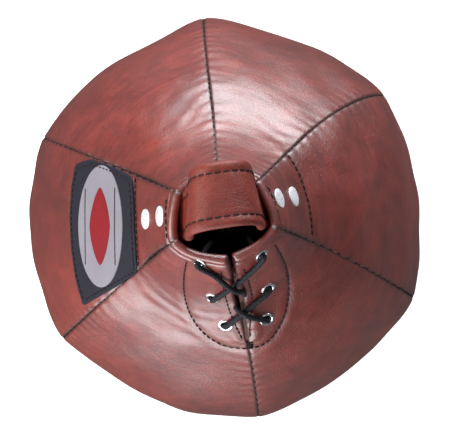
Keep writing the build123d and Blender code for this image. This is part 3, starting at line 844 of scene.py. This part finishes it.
def strap_frames():
    """The band's middle line in the XZ plane, its outward side and its half width."""
    half = [(-38.2, 253.0), (-31.6, 268.3), (-27.0, 279.0), (-21.4, 290.0), (-18.9, 300.0), (-18.6, 313.0),
            (-17.9, 323.0), (-14.2, 330.8), (-7.0, 334.6), (0.0, 335.0)]
    line = smooth_path(half + [(-x, z) for x, z in half[-2::-1]], 1.0)
    way = np.gradient(line, axis=0)
    way /= np.linalg.norm(way, axis=1)[:, None]
    out = np.stack([-way[:, 1], way[:, 0]], -1)
    height = np.clip((line[:, 1] - 284.0) / 34.0, 0, 1)
    width = 13.2 + 3.6 * height * height * (3 - 2 * height)
    return line, out, width


def strap_point(centre, out, width, v, t):
    """Point on the band: v from -1 at the front edge to 1 at the back, t from -1 inside to 1 outside."""
    x, z = centre + out * (t * STRAP_THICK / 2)
    y = v * width
    raised = min(max((z - 286.0) / 20.0, 0.0), 1.0)
    raised = raised * raised * (3 - 2 * raised)
    x *= 1 + raised * (0.05 - 0.12 * (v + 1))
    x += raised * (0.4 + 1.15 * (v + 1))
    y += raised * 1.1 * (v + 1)
    turn = raised * STRAP_LEAN
    dz = z - HINGE[2]
    return (x, HINGE[1] + y * math.cos(turn) + dz * math.sin(turn),
            HINGE[2] + dz * math.cos(turn) - y * math.sin(turn))


def make_strap():
    line, out, width = strap_frames()
    flat = np.linspace(-STRAP_EDGE, STRAP_EDGE, 34)
    edge_r = 1 - STRAP_EDGE
    turned = np.linspace(-math.pi / 2, math.pi / 2, 9)[1:-1]
    section = [(v, 1.0) for v in flat]
    section += [(STRAP_EDGE + edge_r * math.cos(a), -math.sin(a)) for a in turned]
    section += [(v, -1.0) for v in flat[::-1]]
    section += [(-STRAP_EDGE - edge_r * math.cos(a), math.sin(a)) for a in turned]
    points = []
    for i, (centre, normal, half) in enumerate(zip(line, out, width)):
        for v, t in section:
            from_edge = (1 - abs(v)) * half
            groove = 0.34 * math.exp(-((from_edge - STRAP_STITCH) / 0.8) ** 2)
            plump = 0.30 * math.exp(-((from_edge - 2.4) / 2.2) ** 2) - 0.22
            wave = 0.16 * math.sin(i / 5.3 + 3.0 * v) * math.sin(2.1 * v + i / 17.0)
            shape = t * (1 - groove * 2 / STRAP_THICK + plump * 2 / STRAP_THICK) + wave * 2 / STRAP_THICK
            points.append(strap_point(centre, normal, half, v, shape))
    count = len(section)
    faces = grid_faces(len(line), count, wrap_cols=True)
    faces += end_faces(len(line), count)
    piece = mesh_object("strap_band", points, faces, STRAP_LEATHER)
    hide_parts("strap_outer", "strap_core", "strap_lining", "strap_end_left", "strap_end_right")
    return piece


def strap_thread():
    line, out, width = strap_frames()
    rows = []
    for edge in (-1, 1):
        v = edge * (1 - STRAP_STITCH / width)
        seat = np.array([strap_point(c, n, w, side, 0.83) for c, n, w, side in zip(line, out, width, v)])
        above = np.array([strap_point(c, n, w, side, 1.6) for c, n, w, side in zip(line, out, width, v)])
        normal = (above - seat) / np.linalg.norm(above - seat, axis=1)[:, None]
        rows.append((seat[26:-26], normal[26:-26]))
    points, faces = stitch_row(rows, pitch=4.6, gap=0.7, radius=0.42)
    return mesh_object("strap_thread", points, faces, THREAD)


for piece in (make_strap(), strap_thread()):
    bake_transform(piece)


# ---------------------------------------------------------------- label
LABEL_BORDER = [(-90.4, -39.2), (-92.6, -22.0), (-92.4, -4.0), (-90.6, 14.0), (-87.0, 31.0), (-82.4, 44.6),
                (-72.4, 45.4), (-60.0, 38.6), (-47.8, 30.6), (-48.6, 18.0), (-50.2, 4.0), (-51.8, -11.0),
                (-53.6, -25.0), (-66.0, -29.6), (-78.0, -34.2)]
OVAL_PLACE, OVAL_TURN = (-71.2, 5.4), math.radians(-8.7)


def tilted(across, along):
    """Plan position from distances across and along the oval's long axis."""
    c, s = math.cos(OVAL_TURN), math.sin(OVAL_TURN)
    return np.stack([OVAL_PLACE[0] + across * c - along * s, OVAL_PLACE[1] + across * s + along * c], -1)


def ring_path(half_across, half_along, power=2.0, count=120):
    a = np.linspace(0, 2 * math.pi, count, endpoint=False)
    c, s = np.cos(a), np.sin(a)
    return tilted(half_across * np.sign(c) * np.abs(c) ** (2 / power),
                  half_along * np.sign(s) * np.abs(s) ** (2 / power))


def polygon_path(corners, step=1.0):
    path = []
    for a, b in zip(corners, corners[1:] + corners[:1]):
        a, b = np.array(a), np.array(b)
        count = max(1, int(np.linalg.norm(b - a) / step))
        path += [a + (b - a) * i / count for i in range(count)]
    path = np.array(path)
    for _ in range(3):
        path = (path + np.roll(path, 1, 0) + np.roll(path, -1, 0)) / 3
    return path


label_border = polygon_path(LABEL_BORDER)
label_centre = (-70.5, 2.5)
own(cover("label_backing", label_border, label_centre, -0.3, 0.95, BLACK_CLOTH, 30, 0.5),
    "ball", "label_black", "label_base")
own(cover("label_panel", ring_path(14.0, 35.2), OVAL_PLACE, 0.6, 1.3, WHITE_CLOTH, 16), "ball", "label_white",
    "label_oval")
own(cover("label_mark", ring_path(6.4, 22.4, 1.45), OVAL_PLACE, 1.1, 1.62, RED_CLOTH, 12, 0.3), "ball", None)
for line_name, offset in (("label_line_outer", -9.3), ("label_line_inner", 9.3)):
    line = tilted(np.full(40, offset), np.linspace(-22.0, 22.0, 40))
    path = on_leather(line[:, 0], line[:, 1], 1.3)[0]
    piece = tube(line_name, path,
                 lambda along, angles: 0.34 + 0.05 * np.sin(9 * along + angles), 8, BLACK_CLOTH)
    own(piece, "ball", "label_black")
inner_border = label_centre + (label_border - label_centre) * 0.93
thread_piece("label_thread", [on_leather(inner_border[:, 0], inner_border[:, 1], 0.9)],
             pitch=3.4, gap=0.7, radius=0.4)


# ---------------------------------------------------------------- inside the neck, and the foot
def make_tongue():
    """Soft leather tongue lying under the slit."""
    s = np.linspace(float(arc_of_radius(71.0)), float(arc_of_radius(36.0)), 46)
    half = 14.0
    faces_side = []
    for lift in (-8.0, -10.0):
        rows = []
        for value in s:
            reach = np.linspace(-half, half, 31)
            r = float(at_arc(MR, value))
            angle = math.radians(float(seam_angle(FRONT, value))) + reach / (r * 1.06)
            sag = lift + 0.5 * np.sin(value / 4.0 + reach / 6.0) - 0.02 * reach ** 2 * 0.1
            rows.append(on_leather(r * 1.06 * np.cos(angle), r * 1.06 * np.sin(angle), sag)[0])
        faces_side.append(np.array(rows))
    top, under = faces_side
    loop = np.concatenate([top, under[:, ::-1]], axis=1)
    count = loop.shape[1]
    faces = grid_faces(len(s), count, wrap_cols=True)
    faces += end_faces(len(s), count)
    return own(mesh_object("tongue_leather", loop.reshape(-1, 3), faces, TONGUE_LEATHER), "ball",
               "tongue_leather", "tongue")


def make_bag_neck():
    """The inner bag's gathered mouth, tied off, with its ruffle standing up inside the throat."""
    heights = [218.0, 226.0, 231.0, 234.5, 236.5, 238.5, 241.0, 246.0, 252.0, 256.0]
    radii = [46.0, 30.0, 18.0, 11.0, 8.6, 9.2, 13.0, 17.5, 20.5, 22.0]
    depth = [0.3, 1.4, 2.2, 2.0, 1.2, 1.6, 2.8, 3.8, 4.6, 5.0]
    fine = np.linspace(0, 9, 60)
    z = np.interp(fine, range(10), heights)
    r = natural_spline(np.arange(10.0), np.array(radii), fine)
    d = np.interp(fine, range(10), depth)
    sides = 220
    a = np.arange(sides) * 2 * math.pi / sides
    fold = np.sin(13 * a + 0.9 * np.sin(2 * a)) + 0.35 * np.sin(29 * a + 1.3)
    layers = []
    for inset in (0.0, 0.9):
        rows = [np.stack([(rr - inset + dd * fold) * np.cos(a), (rr - inset + dd * fold) * np.sin(a),
                          zz + 0.9 * np.sin(5 * a) * (zz > 240) + 0 * a], -1) for rr, zz, dd in zip(r, z, d)]
        layers.append(rows)
    rows = layers[0] + layers[1][::-1]
    points = np.array(rows)
    return own(mesh_object("bag_mouth", points.reshape(-1, 3),
                           grid_faces(len(rows), sides, wrap_cols=True, wrap_rows=True), BAG_CLOTH),
               "ball", "bag_cloth")


def make_foot():
    """Round patch that closes the underside, with its ring of stitching."""
    profile = [(0, 0.12), (12, 0.1), (24, 0.02), (34, 0.05), (41, 0.2), (46, 0.55), (48.6, 0.95), (49.8, 1.5),
               (50.2, 2.2), (49.9, 2.9), (47, 2.7), (40, 2.5), (20, 2.4), (0, 2.4)]
    patch = lathe("foot_patch", profile, (0, 0, 0), (0, 0, 1), GORE_LEATHER, 120)
    own(patch, "ball", "gore_leather", "base_patch")
    a = np.linspace(0, 2 * math.pi, 300)
    ring = np.stack([45.5 * np.cos(a), 45.5 * np.sin(a), 0.84 + 0 * a], -1)
    down = np.tile([0.0, 0.0, -1.0], (300, 1))
    thread_piece("foot_thread", [(ring, down)], pitch=6.4, gap=1.5, radius=0.45)


BAG_DEPTH = 5.8                 # the bag's face, below the leather's outside
CLOTH_FRAMES = 20


def simulate_bag(piece, limit=3.0):
    """Blows the bag up as cloth, so that it creases at its neck and seams, and keeps it near its shape."""
    rest = np.array([v.co for v in piece.data.vertices], float)
    scene = bpy.context.scene
    cloth = piece.modifiers.new("cloth", "CLOTH")
    cloth.settings.quality = 5
    cloth.settings.mass = 0.2
    cloth.settings.tension_stiffness = 20
    cloth.settings.bending_stiffness = 0.3
    cloth.settings.use_pressure = True
    cloth.settings.uniform_pressure_force = 4
    cloth.settings.effector_weights.gravity = 0
    cloth.point_cache.frame_start, cloth.point_cache.frame_end = 1, CLOTH_FRAMES
    for number in range(1, CLOTH_FRAMES + 1):
        scene.frame_set(number)
    shaped = piece.evaluated_get(bpy.context.evaluated_depsgraph_get())
    moved = np.array([v.co for v in shaped.data.vertices], float)
    piece.modifiers.remove(cloth)
    scene.frame_set(1)
    shift = moved - rest
    size = np.linalg.norm(shift, axis=1)[:, None]
    shift *= np.minimum(1.0, limit * MM / np.maximum(size, 1e-9))
    piece.data.vertices.foreach_set("co", (rest + shift).ravel())
    piece.data.update()


def make_bag():
    """The filled bag inside the leather, from its flat foot to the gathers under its neck."""
    seams = 8
    profile_s = np.linspace(4.0, float(arc_of_radius(104.0)), 60)
    r = at_arc(MR, profile_s) - BAG_DEPTH * at_arc(NR, profile_s)
    z = at_arc(MZ, profile_s) - BAG_DEPTH * at_arc(NZ, profile_s)
    top = [(92.0, 189.0), (80.0, 198.5), (66.0, 206.5), (52.0, 212.5), (38.0, 216.5), (26.0, 219.5),
           (16.0, 222.0)]
    line = smooth_path(list(zip(r, z))[::4] + top, 4.0)
    sides = 120
    a = np.arange(sides) * 2 * math.pi / sides
    rows = []
    for radius, height in line:
        gather = math.exp(-((radius - 16.0) / 22.0) ** 2) * (height > 150)
        pinch = 1 - 0.012 * np.exp(-(np.sin(seams * a / 2) / 0.12) ** 2)
        rr = radius * pinch + gather * 1.6 * np.sin(26 * a)
        rows.append(np.stack([rr * np.cos(a), rr * np.sin(a), height + gather * 0.8 * np.sin(13 * a)], -1))
    count = len(rows)
    points = np.vstack(rows + [[[0, 0, line[0][1]], [0, 0, line[-1][1] + 1.0]]])
    tip = count * sides
    faces = grid_faces(count, sides, wrap_cols=True)
    faces += fan(0, tip, sides) + fan(tip - sides, tip + 1, sides, True)
    piece = mesh_object("bag_body", points, faces, BAG_CLOTH)
    simulate_bag(piece)
    return own(piece, "ball", "bag_cloth", "inner_bag")


def make_filling(node, name, slot, material, wave):
    """A packed lump of filling: the CAD solid remeshed and made uneven."""
    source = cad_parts[node]
    piece = bpy.data.objects.new(name, source.data.copy())
    bpy.context.scene.collection.objects.link(piece)
    piece.data.materials.clear()
    piece.data.materials.append(material)
    remesh = piece.modifiers.new("remesh", "REMESH")
    remesh.mode = "VOXEL"
    remesh.voxel_size = 5.0 * MM
    shaped = piece.evaluated_get(bpy.context.evaluated_depsgraph_get())
    mesh = bpy.data.meshes.new_from_object(shaped)
    piece.modifiers.clear()
    piece.data = mesh
    co = np.array([v.co for v in mesh.vertices], float) / MM
    normal = np.array([v.normal for v in mesh.vertices], float)
    co += normal * (-1.6 + 0.8 * wave(co) + 0.5 * wave(co * 2.7))[:, None]
    mesh.vertices.foreach_set("co", (co * MM).ravel())
    mesh.polygons.foreach_set("use_smooth", [True] * len(mesh.polygons))
    mesh.update()
    return own(piece, "ball", slot, node)


def make_tie():
    """Cord wound twice round the bag's neck."""
    a = np.linspace(0, 4 * math.pi, 240)
    rise = 234.6 + 2.6 * a / (4 * math.pi) + 0.2 * np.sin(3 * a)
    path = np.stack([10.6 * np.cos(a), 10.6 * np.sin(a), rise], -1)
    return own(tube("bag_tie_cord", path, braid, 16, LACE), "ball", "lace_cotton", "bag_tie")


make_tongue()
make_bag()
make_bag_neck()
make_tie()
make_filling("padding_lower", "filling_lower", "padding", PADDING, MIDDLE)
make_filling("padding_upper", "filling_upper", "padding", PADDING, FLOW)
make_filling("sand_bag", "filling_sand", "sand", SAND, SMALL)
make_foot()


# ---------------------------------------------------------------- camera, lights and floor
CAMERA_PLACE, CAMERA_AIM = Vector((0.0126, -0.0216, 1.400)), Vector((-0.0008, 0.0, 0.112))
CAMERA_ROLL, CAMERA_LENS = math.radians(81.5), 162.0
LIGHT_AIM = Vector((0, 0, 0.18))
COOL, WARM, PLAIN = (0.96, 0.98, 1.0), (1.0, 0.94, 0.86), (1.0, 1.0, 1.0)
# name, place in metres, size in metres, watts, colour
LIGHTS = [
    ("back_softbox", (0.46, 1.40, 0.60), (1.9, 1.2), 60, COOL),
    ("front_softbox", (-0.80, -1.28, 0.58), (1.9, 1.2), 43, COOL),
    ("left_softbox", (-1.7, 0.1, 1.1), (0.8, 0.8), 30, WARM),
    ("top_softbox", (-0.5, 0.2, 2.0), (1.2, 1.2), 4, PLAIN),
]


def make_camera():
    data = bpy.data.cameras.new("camera")
    camera = bpy.data.objects.new("camera", data)
    bpy.context.scene.collection.objects.link(camera)
    data.sensor_width = 36.0
    data.lens = CAMERA_LENS
    forward = (CAMERA_AIM - CAMERA_PLACE).normalized()
    up = Vector((math.cos(CAMERA_ROLL), math.sin(CAMERA_ROLL), 0.0))
    up = (up - forward * up.dot(forward)).normalized()
    right = forward.cross(up)
    turn = Matrix((right, up, -forward)).transposed()
    camera.matrix_world = Matrix.Translation(CAMERA_PLACE) @ turn.to_4x4()
    bpy.context.scene.camera = camera


def area_light(name, place, size, power, color):
    data = bpy.data.lights.new(name, "AREA")
    data.shape = "RECTANGLE"
    data.size, data.size_y = size
    data.energy = power
    data.color = color
    light = bpy.data.objects.new(name, data)
    light.location = place
    light.rotation_euler = (LIGHT_AIM - Vector(place)).to_track_quat("-Z", "Y").to_euler()
    bpy.context.scene.collection.objects.link(light)


def make_floor():
    material, tree, shader = new_material("floor")
    speckle = texture(tree, "ShaderNodeTexNoise", 3.0, 3.0, coordinates(tree))
    put_all(tree, shader, {
        "Base Color": ramp(tree, speckle.outputs["Fac"], (0.3, 0.93), (0.7, 0.96)), "Roughness": 0.9,
        "Emission Color": (1.0, 1.0, 1.0, 1.0), "Emission Strength": 0.3})
    reach = 1300.0
    corners = [(-reach, -reach, 0), (reach, -reach, 0), (reach, reach, 0), (-reach, reach, 0)]
    floor = mesh_object("floor", corners, [(0, 1, 2, 3)], material, False)
    floor.visible_glossy = False


def make_sky():
    """White behind the object; the light that falls on it is bright above and dim at the horizon."""
    world = bpy.data.worlds.new("studio")
    world.use_nodes = True
    sky = world.node_tree
    direction = sky.nodes.new("ShaderNodeTexCoord")
    axes = sky.nodes.new("ShaderNodeSeparateXYZ")
    sky.links.new(direction.outputs["Generated"], axes.inputs["Vector"])
    rise = math_node(sky, "ADD", math_node(sky, "MULTIPLY", axes.outputs["Z"], 0.5), 0.5)
    height = ramp(sky, rise, (0.0, 0.2), (0.2, 0.45), (0.42, 0.45), (0.5, 0.18), (0.54, 0.2), (0.75, 0.8),
                  (1.0, 0.6))
    front_back = math_node(sky, "MULTIPLY", axes.outputs["Y"], axes.outputs["Y"])
    side = ramp(sky, front_back, (0.0, 0.7), (0.8, 1.0))
    rays = sky.nodes.new("ShaderNodeLightPath")
    glow = mix_color(sky, 1.0, height, side, "MULTIPLY")
    backdrop = mix_color(sky, rays.outputs["Is Camera Ray"], glow, (2.0, 2.0, 2.0, 1.0))
    sky.links.new(backdrop, sky.nodes["Background"].inputs["Color"])
    sky.nodes["Background"].inputs["Strength"].default_value = 0.45
    bpy.context.scene.world = world
    bpy.context.scene.view_settings.view_transform = "Standard"


make_camera()
make_floor()
make_sky()
for light in LIGHTS:
    area_light(*light)

for node_name in ("facing_left", "facing_right", "anchor_patch_left", "anchor_patch_right"):
    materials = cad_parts[node_name].data.materials
    materials.clear()
    materials.append(LINING_LEATHER)
